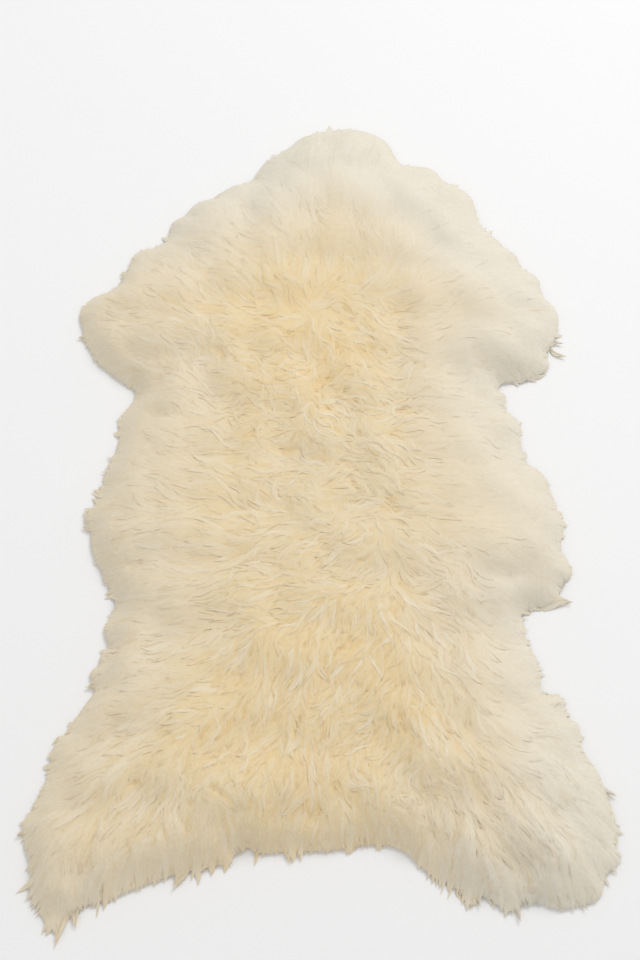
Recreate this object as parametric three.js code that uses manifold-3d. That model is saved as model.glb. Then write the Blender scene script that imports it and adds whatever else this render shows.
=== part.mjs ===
// A long sheepskin rug lying flat on a floor with its wool up: a tanned skin under a lumpy fleece.
// Millimetres, +Z up. The neck points to +Y, the hind legs to -Y, and the skin's underside is at zero.
import * as THREE from 'three';
import { mergeVertices } from 'three/addons/utils/BufferGeometryUtils.js';
import Module from 'manifold-3d';

const wasm = await Module();
wasm.setup();

// Driving dimensions
const skinThickness = 2.5;
const clearance = 0.3;
const skinInset = 34; // how far the wool stands out past the edge of the skin
const pileHeight = 42; // usual height of the pile over the floor
const rimHeight = 11; // height of the wool where its slab ends and the rim locks begin
const rollWidth = 78; // width of the band in which the pile rolls down to the rim
const rollPower = 0.8; // under 1 the roll is fuller than a quarter of a sine wave
const swellHeight = 4; // slow rise and fall of the pile over the whole rug
const swellLength = 330;

const tuftRise = 18; // how far one tuft stands out of the pile
const tuftLength = 74; // distance from one tuft to the next along the rug, and across it
const tuftWidth = 50;
const tuftTip = 0.42; // how far a tuft reaches from its middle to its tip, root and sides
const tuftRoot = 0.85;
const tuftSide = 0.62;
const tuftSpread = 0.7; // how far a tuft may stand from its even place, as a share of the distance
const smallestTuft = 0.55;
const flankTurn = 0.9; // radians by which a tuft at the flank turns outwards from the spine's line
const flankPlace = 320;
const loneTurn = 1; // radians between the most uneven tufts side by side

const netPitch = 17; // distance between the points that shape the top of the pile
const netMargin = 30; // how far that net of points runs past the rug, before it is cut off
const edgeWaves = [
  { height: 1.8, length: 74, start: 0 }, // how the rim wanders in and out between two landmarks
  { height: 1.1, length: 32, start: 1 },
];
const rimSamples = 180;
const skinSamples = 96;

const lockCount = 236;
const lockRoot = 16; // length of a lock that stays buried in the slab
const lockReach = [7, 17]; // shortest and longest part that shows past the slab
const lockSize = [0.8, 1.2]; // slimmest and fullest lock
const lockWidth = 12.5;
const lockHeight = 8.5;
const lockKnee = 0.5; // share of a lock's length where it bends
const kneeWidth = 0.74; // a lock's width there as a share of its width at the root
const lockGap = 0.6; // least gap between two locks
const lockLean = 0.45; // how strongly the locks are combed towards the hind legs
const lockTurn = 0.5; // uneven turn of a lock to either side, in radians

// Where the slab of wool ends, left and right of each landmark of the skin, and the place on the
// spine that the wool there parts from.
const landmarks = [
  { name: 'crown', left: [-30, 509], right: [50, 527], spine: 405 },
  { name: 'ear', left: [-72, 475], right: [99, 480], spine: 392 },
  { name: 'cheek', left: [-92, 436], right: [150, 455], spine: 376 },
  { name: 'neck', left: [-155, 410], right: [194, 424], spine: 356 },
  { name: 'shoulder', left: [-192, 358], right: [214, 358], spine: 326 },
  { name: 'foreleg top', left: [-242, 318], right: [257, 312], spine: 296 },
  { name: 'foreleg front', left: [-297, 250], right: [299, 249], spine: 262 },
  { name: 'foreleg tip', left: [-298, 198], right: [294, 188], spine: 232 },
  { name: 'foreleg back', left: [-268, 152], right: [268, 144], spine: 200 },
  { name: 'armpit', left: [-230, 122], right: [223, 129], spine: 158 },
  { name: 'waist', left: [-246, 58], right: [248, 40], spine: 62 },
  { name: 'belly', left: [-279, -64], right: [290, -56], spine: -44 },
  { name: 'flank', left: [-266, -116], right: [296, -148], spine: -118 },
  { name: 'loin', left: [-243, -192], right: [233, -193], spine: -184 },
  { name: 'hip', left: [-259, -276], right: [259, -272], spine: -242 },
  { name: 'thigh', left: [-302, -366], right: [304, -364], spine: -268 },
  { name: 'hock', left: [-328, -456], right: [327, -446], spine: -284 },
  { name: 'hind foot', left: [-314, -528], right: [306, -520], spine: -298 },
  { name: 'hind toe', left: [-286, -552], right: [226, -540], spine: -312 },
  { name: 'heel', left: [-224, -522], right: [156, -512], spine: -338 },
  { name: 'rump', left: [-126, -488], right: [84, -466], spine: -372 },
  { name: 'tail', left: [-44, -474], right: [18, -468], spine: -394 },
];

// Tufts that stand out of the rim on their own, by the places of their tips
const longTufts = [
  { name: 'left hind toe', tip: [-291, -585] },
  { name: 'left hind claw', tip: [-268, -563] },
  { name: 'left heel', tip: [-164, -519] },
  { name: 'right heel', tip: [178, -540] },
  { name: 'right hind toe', tip: [228, -556] },
  { name: 'right hind foot', tip: [297, -543] },
  { name: 'left hock', tip: [-344, -458] },
  { name: 'right hock', tip: [341, -412] },
  { name: 'left hip', tip: [-276, -277] },
  { name: 'right flank back', tip: [305, -172] },
  { name: 'right flank front', tip: [308, -123] },
  { name: 'left belly', tip: [-294, -68] },
  { name: 'right foreleg low', tip: [317, 172] },
  { name: 'right foreleg high', tip: [314, 196] },
  { name: 'left foreleg', tip: [-314, 205] },
];

// An uneven number between two limits, the same for the same two keys each time
function uneven(keyA, keyB, [low, high] = [0, 1]) {
  const value = Math.sin(keyA * 127.1 + keyB * 311.7) * 43758.5453;
  return low + (high - low) * (value - Math.floor(value));
}

function manifoldOf(geometry) {
  const bare = geometry.clone();
  bare.deleteAttribute('normal');
  bare.deleteAttribute('uv');
  const merged = mergeVertices(bare);
  const mesh = new wasm.Mesh({
    numProp: 3,
    vertProperties: new Float32Array(merged.attributes.position.array),
    triVerts: new Uint32Array(merged.index.array),
  });
  return new wasm.Manifold(mesh);
}

function geometryOf(solid) {
  const mesh = solid.getMesh();
  const geometry = new THREE.BufferGeometry();
  geometry.setAttribute('position', new THREE.BufferAttribute(mesh.vertProperties, 3));
  geometry.setIndex(new THREE.BufferAttribute(mesh.triVerts, 1));
  geometry.computeVertexNormals();
  return geometry;
}

// The rim runs from the tail up the right side to the crown and down the left side. Its third
// coordinate carries the place on the spine along with each point.
function rimCurve() {
  const right = landmarks.map(({ right: [x, y], spine }) => new THREE.Vector3(x, y, spine));
  const left = landmarks.map(({ left: [x, y], spine }) => new THREE.Vector3(x, y, spine));
  return new THREE.CatmullRomCurve3([...right.reverse(), ...left], true, 'centripetal');
}

const rim = rimCurve();
const rimLength = rim.getLength();

// A point of the rim with its spine point and the direction out of the wool
function rimStation(share) {
  const { x, y, z: spine } = rim.getPointAt(share);
  const along = rim.getTangentAt(share);
  const outward = new THREE.Vector2(along.y, -along.x).normalize();
  const waveOf = ({ height, length, start }) =>
    height * Math.sin((2 * Math.PI * share * rimLength) / length + start);
  const wave = edgeWaves.reduce((sum, part) => sum + waveOf(part), 0);
  const edge = new THREE.Vector2(x, y).addScaledVector(outward, wave);
  return { edge, outward, parting: new THREE.Vector2(0, spine) };
}

function rimStations(count) {
  return Array.from({ length: count }, (_, i) => rimStation(i / count));
}

const rimPoints = rimStations(rimSamples);

function nearestStation(place) {
  const nearer = (one, other) =>
    place.distanceToSquared(one.edge) < place.distanceToSquared(other.edge) ? one : other;
  return rimPoints.reduce(nearer);
}

// How far a place lies in from the rim, and zero outside it
function insideRim(x, y) {
  const place = new THREE.Vector2(x, y);
  const { edge, outward } = nearestStation(place);
  const outside = place.clone().sub(edge).dot(outward) > 0;
  return outside ? 0 : place.distanceTo(edge);
}

// How high the tuft in one column and row stands at a place. Each rises slowly from its root and
// ends in a steep round tip that points away from the spine and towards the hind legs.
function oneTuft(x, y, column, row) {
  const shift = [0.5 - tuftSpread / 2, 0.5 + tuftSpread / 2];
  const fromX = x - (column + uneven(column, row, shift)) * tuftWidth;
  const fromY = y - (row + uneven(row, column + 0.5, shift)) * tuftLength;
  const lie = (flankTurn * (x - fromX)) / flankPlace + loneTurn * (uneven(column + 0.7, row) - 0.5);
  const along = fromX * Math.sin(lie) - fromY * Math.cos(lie);
  const across = fromX * Math.cos(lie) + fromY * Math.sin(lie);
  const reach = tuftLength * (along > 0 ? tuftTip : tuftRoot);
  const away = Math.hypot(along / reach, across / (tuftWidth * tuftSide));
  return tuftRise * (1 - away ** 2) * uneven(column + 0.3, row, [smallestTuft, 1]);
}

// Tufts overlap like shingles, so the highest one at a place is what shows
function tuftHeight(x, y) {
  const column = Math.floor(x / tuftWidth);
  const row = Math.floor(y / tuftLength);
  const around = [-1, 0, 1];
  const heights = around.flatMap((i) => around.map((j) => oneTuft(x, y, column + i, row + j)));
  return Math.max(0, ...heights);
}

function swell(x, y) {
  const turn = (2 * Math.PI) / swellLength;
  return swellHeight * Math.sin(x * turn + 1) * Math.sin(y * turn);
}

// Height of the pile at a place
function pileTop(x, y) {
  const roll = Math.min(insideRim(x, y) / rollWidth, 1);
  const rise = Math.sin((roll * Math.PI) / 2) ** rollPower;
  const full = pileHeight + swell(x, y) + tuftHeight(x, y) - tuftRise / 2;
  return rimHeight + (full - rimHeight) * rise;
}

// The net of points that shapes the pile, in staggered rows, larger than the rug all round
function pileNet() {
  const reach = new THREE.Box2().setFromPoints(rimPoints.map(({ edge }) => edge));
  const size = reach.expandByScalar(netMargin).getSize(new THREE.Vector2());
  const columns = Math.ceil(size.x / netPitch);
  const rows = Math.ceil(size.y / (netPitch * Math.sqrt(0.75)));
  const net = { vertices: [], triangles: [], border: [] };
  for (let row = 0; row <= rows; row++) {
    for (let column = 0; column <= columns; column++) {
      const x = reach.min.x + (size.x * (column + (row % 2) / 2)) / columns;
      const y = reach.min.y + (size.y * row) / rows;
      net.vertices.push(x, y, pileTop(x, y));
    }
  }
  const at = (row, column) => row * (columns + 1) + column;
  for (let row = 0; row < rows; row++) {
    for (let column = 0; column < columns; column++) {
      const [a, b] = [at(row, column), at(row, column + 1)];
      const [c, d] = [at(row + 1, column), at(row + 1, column + 1)];
      net.triangles.push(...(row % 2 === 0 ? [a, b, c, b, d, c] : [a, b, d, a, d, c]));
    }
  }
  for (let column = 0; column < columns; column++) net.border.push(at(0, column));
  for (let row = 0; row < rows; row++) net.border.push(at(row, columns));
  for (let column = columns; column > 0; column--) net.border.push(at(rows, column));
  for (let row = rows; row > 0; row--) net.border.push(at(row, 0));
  return net;
}

// A block with that net as its top, closed by walls and a bottom below the floor
function pileBlock() {
  const { vertices, triangles, border } = pileNet();
  const low = vertices.length / 3;
  const middle = low + border.length;
  border.forEach((corner) => vertices.push(vertices[corner * 3], vertices[corner * 3 + 1], -netMargin));
  vertices.push(0, 0, -netMargin);
  border.forEach((corner, i) => {
    const next = (i + 1) % border.length;
    triangles.push(corner, low + i, low + next, corner, low + next, border[next]);
    triangles.push(middle, low + next, low + i);
  });
  const geometry = new THREE.BufferGeometry();
  geometry.setAttribute('position', new THREE.Float32BufferAttribute(vertices, 3));
  geometry.setIndex(triangles);
  return geometry;
}

// Where a lock runs on the floor: its buried root, the rim, a knee and the tip
function lockCourse(edge, outward, tipWay, reach, size) {
  const knee = edge.clone().addScaledVector(outward, reach * lockKnee);
  return {
    size,
    sideways: new THREE.Vector2(-outward.y, outward.x),
    root: edge.clone().addScaledVector(outward, -lockRoot),
    edge,
    knee,
    tip: knee.clone().addScaledVector(tipWay, reach * (1 - lockKnee)),
  };
}

function longLock({ tip: [x, y] }) {
  const tip = new THREE.Vector2(x, y);
  const { edge } = nearestStation(tip);
  const outward = tip.clone().sub(edge).normalize();
  return lockCourse(edge, outward, outward, tip.distanceTo(edge), 1);
}

function usualLock({ edge, outward }, index) {
  const combed = -Math.sign(outward.x) * outward.x ** 2 * lockLean;
  const turn = combed + lockTurn * (uneven(index, 2) - 0.5);
  const tipWay = outward.clone().rotateAround(new THREE.Vector2(), turn);
  return lockCourse(edge, outward, tipWay, uneven(index, 1, lockReach), uneven(index, 3, lockSize));
}

// True where two locks leave a gap between them on the whole way from the rim to their tips
function standApart(one, other) {
  const middleOf = (lock) => lock.knee.clone().lerp(lock.tip, 0.5);
  const stepsOf = (lock) => [lock.edge, lock.knee, middleOf(lock), lock.tip];
  const widths = [1, kneeWidth, kneeWidth / 2, 0];
  return stepsOf(one).every((a, i) =>
    stepsOf(other).every((b, j) => {
      const between = (lockWidth / 2) * (widths[i] * one.size + widths[j] * other.size);
      return a.distanceTo(b) > between + lockGap;
    }),
  );
}

// Locks all round the rim, combed outwards and towards the hind legs. None grows where it would
// cross a neighbour, as in the bend of an armpit.
function rimLocks() {
  const kept = [];
  for (const lock of [...longTufts.map(longLock), ...rimStations(lockCount).map(usualLock)]) {
    if (kept.every((other) => standApart(lock, other))) kept.push(lock);
  }
  return kept.map(lockBody);
}

// One three-sided lock with a flat side on the floor
function lockBody({ size, sideways, root, knee, tip }) {
  const vertices = [];
  for (const [middle, share] of [[root, 1], [knee, kneeWidth]]) {
    const half = sideways.clone().multiplyScalar((lockWidth * size * share) / 2);
    vertices.push(middle.x - half.x, middle.y - half.y, 0);
    vertices.push(middle.x + half.x, middle.y + half.y, 0);
    vertices.push(middle.x, middle.y, lockHeight * size * share);
  }
  vertices.push(tip.x, tip.y, 0);
  const geometry = new THREE.BufferGeometry();
  geometry.setAttribute('position', new THREE.Float32BufferAttribute(vertices, 3));
  const rootEnd = [0, 2, 1];
  const rootToKnee = [0, 1, 4, 0, 4, 3, 1, 2, 5, 1, 5, 4, 2, 0, 3, 2, 3, 5];
  const kneeToTip = [3, 4, 6, 4, 5, 6, 5, 3, 6];
  geometry.setIndex([...rootEnd, ...rootToKnee, ...kneeToTip]);
  return geometry;
}

// A flat plate between two heights, drawn in from the rim of the wool
function plate(stations, inset, bottom, top) {
  const points = stations.map(({ edge, parting }) => {
    const inward = parting.clone().sub(edge).normalize();
    return edge.clone().addScaledVector(inward, inset);
  });
  const shape = new THREE.Shape(points);
  const extruded = new THREE.ExtrudeGeometry(shape, { depth: top - bottom, bevelEnabled: false });
  return extruded.translate(0, 0, bottom);
}

function skin() {
  const leather = new THREE.MeshStandardMaterial({ color: 0xd8c9ab, roughness: 0.9, metalness: 0 });
  const mesh = new THREE.Mesh(plate(rimStations(skinSamples), skinInset, 0, skinThickness), leather);
  mesh.name = 'hide';
  return mesh;
}

// The wool stands on the skin all over and on the floor past the skin's edge
function wool() {
  const cutter = plate(rimPoints, 0, 0, 2 * pileHeight);
  const slab = manifoldOf(pileBlock()).intersect(manifoldOf(cutter));
  const shaggy = rimLocks().reduce((joined, lock) => joined.add(manifoldOf(lock)), slab);
  const bed = plate(rimStations(skinSamples), skinInset - 2 * clearance, -1, skinThickness + clearance);
  const solid = shaggy.subtract(manifoldOf(bed));
  const fleece = new THREE.MeshStandardMaterial({ color: 0xe2d3b4, roughness: 0.95, metalness: 0 });
  const mesh = new THREE.Mesh(geometryOf(solid), fleece);
  mesh.name = 'fleece';
  return mesh;
}

const rug = new THREE.Group();
rug.add(skin(), wool());

// The origin stands under the middle of the rug, on the floor
const box = new THREE.Box3().setFromObject(rug);
rug.position.set(-(box.min.x + box.max.x) / 2, -(box.min.y + box.max.y) / 2, -box.min.z);

export default rug;
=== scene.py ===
# A long sheepskin rug on a pale floor: a suede hide under long combed wool.
import math

import bpy
import numpy as np
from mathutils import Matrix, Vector
from mathutils.bvhtree import BVHTree
from mathutils.kdtree import KDTree


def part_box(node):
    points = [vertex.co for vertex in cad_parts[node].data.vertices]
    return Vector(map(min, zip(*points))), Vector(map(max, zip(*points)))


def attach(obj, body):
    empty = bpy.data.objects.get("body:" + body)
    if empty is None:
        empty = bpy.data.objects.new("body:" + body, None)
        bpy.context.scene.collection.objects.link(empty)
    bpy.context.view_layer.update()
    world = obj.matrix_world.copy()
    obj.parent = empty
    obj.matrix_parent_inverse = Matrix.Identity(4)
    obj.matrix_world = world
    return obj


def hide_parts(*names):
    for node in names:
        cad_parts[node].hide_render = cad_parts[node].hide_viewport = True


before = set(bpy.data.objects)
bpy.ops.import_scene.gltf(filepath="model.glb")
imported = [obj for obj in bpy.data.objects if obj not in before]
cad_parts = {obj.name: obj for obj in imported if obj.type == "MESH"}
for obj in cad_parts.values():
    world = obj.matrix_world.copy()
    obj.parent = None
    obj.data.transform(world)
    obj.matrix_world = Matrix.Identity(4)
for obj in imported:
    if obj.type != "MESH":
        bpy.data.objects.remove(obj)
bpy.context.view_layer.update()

rng = np.random.default_rng(11)

# All places are metres in the frame: +Y to the neck, -Y to the hind legs, +Z up.

net = {
    "step": 0.0024,        # distance between the points that shape the wool
    "margin": 0.032,       # how far they run past the rug
    "slabEdge": 0.0104,    # the slab of wool is higher than this, its rim locks are lower
    "slabHeight": 0.011,   # its least height
    "fringe": 0.013,       # the wool falls to the floor over this width past the slab
    "edgeHeight": 0.006,   # its height there
    "edgeWidth": 0.014,    # and the width over which it thins out to that
    "evenHills": 0.75,     # how much of its hills the wool evens out
    "evenFrom": 0.03,      # how far in from the rim this sets in
    "evenWidth": 0.04,     # and over what width
    "hillShade": 1.15,     # how strongly the hills are shaded
    "lockShade": 0.8,      # how strongly the locks are
    "lowestPath": 0.0012,  # locks and wisps run at least this high over the floor
    "lowestPoint": 0.0004, # and no part of them is lower than this
}

# How the wool is combed, place by place. lie is the way the tips point in degrees, 0 to the right
# and 90 to the neck. curl goes from straight to tangled, crisp from fluffy to pointed locks, and
# reach and breadth are the size of a lock.
combColumns = ("place", "x", "y", "lie", "curl", "crisp", "reach", "breadth")
combRows = [
    ("crown", 0.03, 0.51, 90, 0.10, 0.3, 0.050, 0.026),
    ("nape left", -0.07, 0.44, 125, 0.15, 0.3, 0.054, 0.024),
    ("nape right", 0.13, 0.43, 60, 0.10, 0.2, 0.052, 0.028),
    ("cheek left", -0.13, 0.36, 150, 0.20, 0.4, 0.054, 0.022),
    ("neck", 0.07, 0.34, 92, 0.50, 0.4, 0.058, 0.020),
    ("cheek right", 0.18, 0.34, 30, 0.10, 0.2, 0.054, 0.028),
    ("shoulder left", -0.19, 0.29, 138, 0.25, 0.5, 0.056, 0.018),
    ("foreleg left", -0.27, 0.22, 155, 0.20, 0.4, 0.052, 0.022),
    ("withers left", -0.10, 0.23, 155, 0.80, 0.7, 0.056, 0.013),
    ("withers right", 0.06, 0.22, 318, 0.80, 0.7, 0.056, 0.013),
    ("foreleg right top", 0.17, 0.24, 25, 0.10, 0.2, 0.054, 0.030),
    ("foreleg right", 0.27, 0.21, 2, 0.10, 0.2, 0.052, 0.030),
    ("side left", -0.19, 0.08, 148, 0.25, 0.4, 0.056, 0.018),
    ("back left", -0.06, 0.11, 180, 1.00, 0.9, 0.056, 0.010),
    ("back right", 0.06, 0.11, 345, 0.90, 0.9, 0.056, 0.011),
    ("side right", 0.19, 0.08, 350, 0.15, 0.2, 0.056, 0.028),
    ("loin left", -0.17, -0.02, 174, 0.15, 0.5, 0.060, 0.017),
    ("loin middle left", -0.04, 0.00, 165, 0.80, 0.8, 0.056, 0.011),
    ("loin middle right", 0.06, 0.00, 350, 0.70, 0.8, 0.056, 0.012),
    ("loin right", 0.20, -0.02, 0, 0.10, 0.2, 0.058, 0.028),
    ("flank left", -0.18, -0.13, 182, 0.10, 0.5, 0.060, 0.018),
    ("rump left", -0.06, -0.15, 195, 0.40, 0.8, 0.056, 0.012),
    ("rump", 0.03, -0.11, 222, 0.70, 0.9, 0.054, 0.011),
    ("rump right", 0.14, -0.13, 312, 0.40, 0.7, 0.054, 0.014),
    ("flank right", 0.24, -0.15, 0, 0.10, 0.2, 0.056, 0.028),
    ("croup left", -0.03, -0.22, 272, 0.50, 0.9, 0.056, 0.012),
    ("croup", 0.05, -0.24, 240, 0.60, 1.0, 0.054, 0.011),
    ("croup right", 0.13, -0.24, 285, 0.40, 0.9, 0.054, 0.013),
    ("hip left", -0.18, -0.28, 188, 0.20, 0.6, 0.058, 0.018),
    ("hip right", 0.23, -0.28, 345, 0.15, 0.3, 0.056, 0.026),
    ("haunch left", -0.12, -0.32, 224, 0.50, 0.9, 0.054, 0.013),
    ("haunch right", 0.08, -0.32, 245, 0.60, 1.0, 0.054, 0.012),
    ("thigh left", -0.27, -0.37, 210, 0.20, 0.6, 0.064, 0.024),
    ("thigh right", 0.28, -0.38, 320, 0.20, 0.6, 0.060, 0.026),
    ("ridge left", -0.12, -0.38, 275, 0.80, 0.9, 0.050, 0.013),
    ("ridge right", 0.08, -0.39, 285, 0.80, 0.9, 0.050, 0.013),
    ("hind leg left", -0.24, -0.45, 238, 0.15, 0.9, 0.085, 0.030),
    ("hind foot left", -0.30, -0.48, 257, 0.10, 0.9, 0.080, 0.030),
    ("hind leg right", 0.22, -0.45, 300, 0.15, 0.9, 0.085, 0.034),
    ("hind foot right", 0.31, -0.47, 290, 0.10, 0.8, 0.080, 0.034),
    ("tail left", -0.12, -0.46, 255, 0.10, 0.9, 0.070, 0.020),
    ("tail right", 0.05, -0.44, 275, 0.10, 0.9, 0.066, 0.018),
    ("heel left", -0.20, -0.49, 228, 0.10, 0.9, 0.076, 0.028),
    ("heel right", 0.16, -0.49, 298, 0.10, 0.9, 0.076, 0.030),
]
combing = {
    "softness": 0.035,      # a place's combing gives way to the next over this distance
    "rimPull": 0.7,         # how strongly the wool turns outwards at the rim
    "rimWidth": 0.024,      # and over what width
    "rimCrisp": 0.75,       # how crisp fluffy wool gets where it hangs down at the rim
    "rimCrispWidth": 0.020, # and over what width
    "ownWay": 0.04,         # a lock turns into the lie of its neighbours over this distance
    "swirl": 0.22,          # how far straight wool swirls to either side, in radians
    "curlSwirl": 0.65,      # the same, added where it is curly
    "swirlSize": 0.012,
    "swirlFrom": 0.03,      # nearer to the rim than this it swirls less
    "tuftSize": 0.009,      # size of the tufts at the rim
}


# The net of points over the rug

low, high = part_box("fleece")
xs = np.arange(low.x - net["margin"], high.x + net["margin"], net["step"])
ys = np.arange(low.y - net["margin"], high.y + net["margin"], net["step"])
gridX, gridY = np.meshgrid(xs, ys)


# Where the rim of the wool stands further out than the plain body. Each lobe has a place, x, y, its
# size, and its reach, which is below zero where the rim stands less far out.
rimRows = [
    ("crown", 0.030, 0.578, 0.050, 0.012),
    ("crown left", -0.025, 0.545, 0.026, 0.008),
    ("crown right", 0.085, 0.532, 0.032, 0.015),
    ("nape left", -0.074, 0.499, 0.020, 0.005),
    ("nape right", 0.150, 0.492, 0.028, 0.013),
    ("cheek left", -0.115, 0.465, 0.030, 0.016),
    ("cheek low left", -0.163, 0.432, 0.020, 0.009),
    ("shoulder left", -0.190, 0.402, 0.018, 0.017),
    ("shoulder low left", -0.236, 0.358, 0.018, 0.012),
    ("foreleg top left", -0.268, 0.315, 0.022, -0.014),
    ("foreleg left", -0.303, 0.265, 0.022, 0.008),
    ("foreleg low left", -0.294, 0.202, 0.016, -0.004),
    ("foreleg under left", -0.256, 0.160, 0.024, -0.006),
    ("armpit left", -0.243, 0.112, 0.022, 0.011),
    ("belly left", -0.272, 0.003, 0.018, -0.006),
    ("flank left", -0.289, -0.032, 0.014, 0.007),
    ("flank low left", -0.280, -0.062, 0.010, -0.005),
    ("loin top left", -0.274, -0.085, 0.014, 0.003),
    ("loin gap left", -0.270, -0.104, 0.012, -0.006),
    ("loin left", -0.257, -0.142, 0.022, -0.010),
    ("hip left", -0.252, -0.183, 0.018, 0.010),
    ("hip middle left", -0.256, -0.214, 0.010, 0.006),
    ("hip low left", -0.266, -0.237, 0.012, 0.012),
    ("leg left", -0.292, -0.308, 0.018, 0.005),
    ("leg low left", -0.303, -0.331, 0.014, 0.007),
    ("leg gap left", -0.318, -0.360, 0.014, -0.004),
    ("foot top left", -0.332, -0.418, 0.016, 0.005),
    ("foot left", -0.330, -0.472, 0.014, -0.004),
    ("toe left", -0.296, -0.540, 0.016, 0.014),
    ("claw left", -0.262, -0.528, 0.024, -0.017),
    ("heel left", -0.190, -0.498, 0.030, -0.003),
    ("tail far left", -0.124, -0.478, 0.014, 0.001),
    ("tail tooth left", -0.098, -0.466, 0.010, 0.009),
    ("tail left", -0.079, -0.456, 0.016, -0.021),
    ("tail middle left", -0.051, -0.459, 0.012, -0.004),
    ("tail middle", -0.030, -0.464, 0.011, 0.011),
    ("tail middle right", -0.005, -0.458, 0.012, -0.004),
    ("tail right", 0.055, -0.453, 0.024, -0.002),
    ("hock inner right", 0.125, -0.478, 0.020, 0.007),
    ("heel gap right", 0.143, -0.497, 0.016, -0.003),
    ("heel right", 0.168, -0.514, 0.010, 0.014),
    ("heel side right", 0.184, -0.508, 0.009, -0.006),
    ("toe right", 0.208, -0.522, 0.014, 0.003),
    ("toe gap right", 0.235, -0.512, 0.015, -0.022),
    ("foot back right", 0.308, -0.502, 0.016, 0.005),
    ("foot gap right", 0.324, -0.482, 0.010, -0.006),
    ("foot side right", 0.331, -0.462, 0.014, 0.010),
    ("foot right", 0.330, -0.408, 0.026, 0.006),
    ("hock right", 0.318, -0.350, 0.022, 0.003),
    ("thigh right", 0.297, -0.303, 0.012, 0.008),
    ("hip low right", 0.277, -0.272, 0.012, 0.013),
    ("hip right", 0.264, -0.258, 0.012, -0.014),
    ("hip top right", 0.248, -0.212, 0.020, 0.007),
    ("notch right", 0.243, -0.179, 0.011, 0.006),
    ("flap under right", 0.258, -0.163, 0.014, -0.010),
    ("flap tip right", 0.299, -0.143, 0.012, 0.010),
    ("flap low right", 0.296, -0.124, 0.011, -0.014),
    ("flap right", 0.297, -0.072, 0.018, -0.010),
    ("flap bump right", 0.298, -0.038, 0.010, 0.003),
    ("flap middle right", 0.290, -0.008, 0.014, 0.004),
    ("flap top right", 0.272, 0.026, 0.018, 0.010),
    ("belly right", 0.260, 0.050, 0.012, -0.010),
    ("side right", 0.245, 0.098, 0.026, 0.012),
    ("armpit right", 0.232, 0.138, 0.012, 0.011),
    ("foreleg inner right", 0.238, 0.156, 0.016, -0.008),
    ("foreleg under right", 0.272, 0.160, 0.014, -0.009),
    ("foreleg low right", 0.306, 0.206, 0.016, -0.012),
    ("foreleg toe right", 0.288, 0.186, 0.011, 0.008),
    ("foreleg side right", 0.306, 0.258, 0.020, 0.006),
    ("foreleg right", 0.300, 0.290, 0.018, -0.006),
    ("foreleg top right", 0.280, 0.318, 0.018, 0.010),
    ("shoulder low right", 0.253, 0.353, 0.016, 0.010),
    ("shoulder right", 0.232, 0.378, 0.020, 0.014),
    ("cheek right", 0.204, 0.438, 0.026, 0.006),
]


# Height of a node from above at every point of the net, 0 beside it
def heightsOf(nodeName):
    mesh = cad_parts[nodeName].data
    corners = [vertex.co.copy() for vertex in mesh.vertices]
    tree = BVHTree.FromPolygons(corners, [list(face.vertices) for face in mesh.polygons])
    down = Vector((0, 0, -1))
    heights = np.zeros(gridX.shape)
    for row, y in enumerate(ys):
        for column, x in enumerate(xs):
            hit = tree.ray_cast(Vector((x, y, 1)), down)[0]
            heights[row, column] = hit.z if hit else 0
    return heights


def blurred(field, times=1):
    for _ in range(times):
        padded = np.pad(field, 1, mode="edge")
        field = (padded[:-2] + 2 * padded[1:-1] + padded[2:])[:, 1:-1] / 4
        padded = np.pad(field, 1, mode="edge")
        field = (padded[:, :-2] + 2 * padded[:, 1:-1] + padded[:, 2:])[1:-1] / 4
    return field


# Random lumps of about one size
def lumpy(size):
    return blurred(rng.normal(size=gridX.shape), int((size / net["step"]) ** 2))


# Distance from every point to the edge of a shape, below zero outside it
def distanceIn(inside):
    padded = np.pad(inside, 1)
    middle = padded[1:-1, 1:-1]
    allAround = padded[:-2, 1:-1] & padded[2:, 1:-1] & padded[1:-1, :-2] & padded[1:-1, 2:]
    edgeRows, edgeColumns = np.nonzero(middle & ~allAround)
    tree = KDTree(len(edgeRows))
    for i, (row, column) in enumerate(zip(edgeRows, edgeColumns)):
        tree.insert((xs[column], ys[row], 0), i)
    tree.balance()
    nearest = [tree.find((x, y, 0))[2] for x, y in zip(gridX.ravel(), gridY.ravel())]
    distance = np.array(nearest).reshape(gridX.shape)
    half = net["step"] / 2
    return blurred(np.where(inside, distance + half, half - distance), 2)


# A field's value between the points of the net
def sample(field, x, y):
    column = np.clip((x - xs[0]) / net["step"], 0, len(xs) - 1.001)
    row = np.clip((y - ys[0]) / net["step"], 0, len(ys) - 1.001)
    i, j = row.astype(int), column.astype(int)
    u, v = row - i, column - j
    near = field[i, j] * (1 - v) + field[i, j + 1] * v
    far = field[i + 1, j] * (1 - v) + field[i + 1, j + 1] * v
    return near * (1 - u) + far * u


def readPile():
    heights = heightsOf("fleece")
    rimIn = distanceIn(heights > net["slabEdge"])
    push = np.zeros(gridX.shape)
    for place, x, y, size, reach in rimRows:
        push += reach * np.exp(-((gridX - x) ** 2 + (gridY - y) ** 2) / size ** 2)
    slopeY, slopeX = np.gradient(blurred(rimIn, 12), net["step"])
    fromX, fromY = gridX + slopeX * push, gridY + slopeY * push
    heights, rimIn = sample(heights, fromX, fromY), sample(rimIn, fromX, fromY)
    even = net["evenHills"] * np.clip((rimIn - net["evenFrom"]) / net["evenWidth"], 0, 1)
    heights += (blurred(heights, 80) - heights) * even
    inner = np.sqrt(np.clip(rimIn / net["edgeWidth"], 0, 1))
    heights = np.maximum(heights, net["slabHeight"])
    inside = net["edgeHeight"] + (heights - net["edgeHeight"]) * inner
    outside = net["edgeHeight"] * np.clip(1 + rimIn / net["fringe"], 0, 1)
    return blurred(np.where(rimIn > 0, inside, outside)), rimIn


pileTop, rimIn = readPile()
print("wool: net of", gridX.size, "points over the pile")


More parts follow.
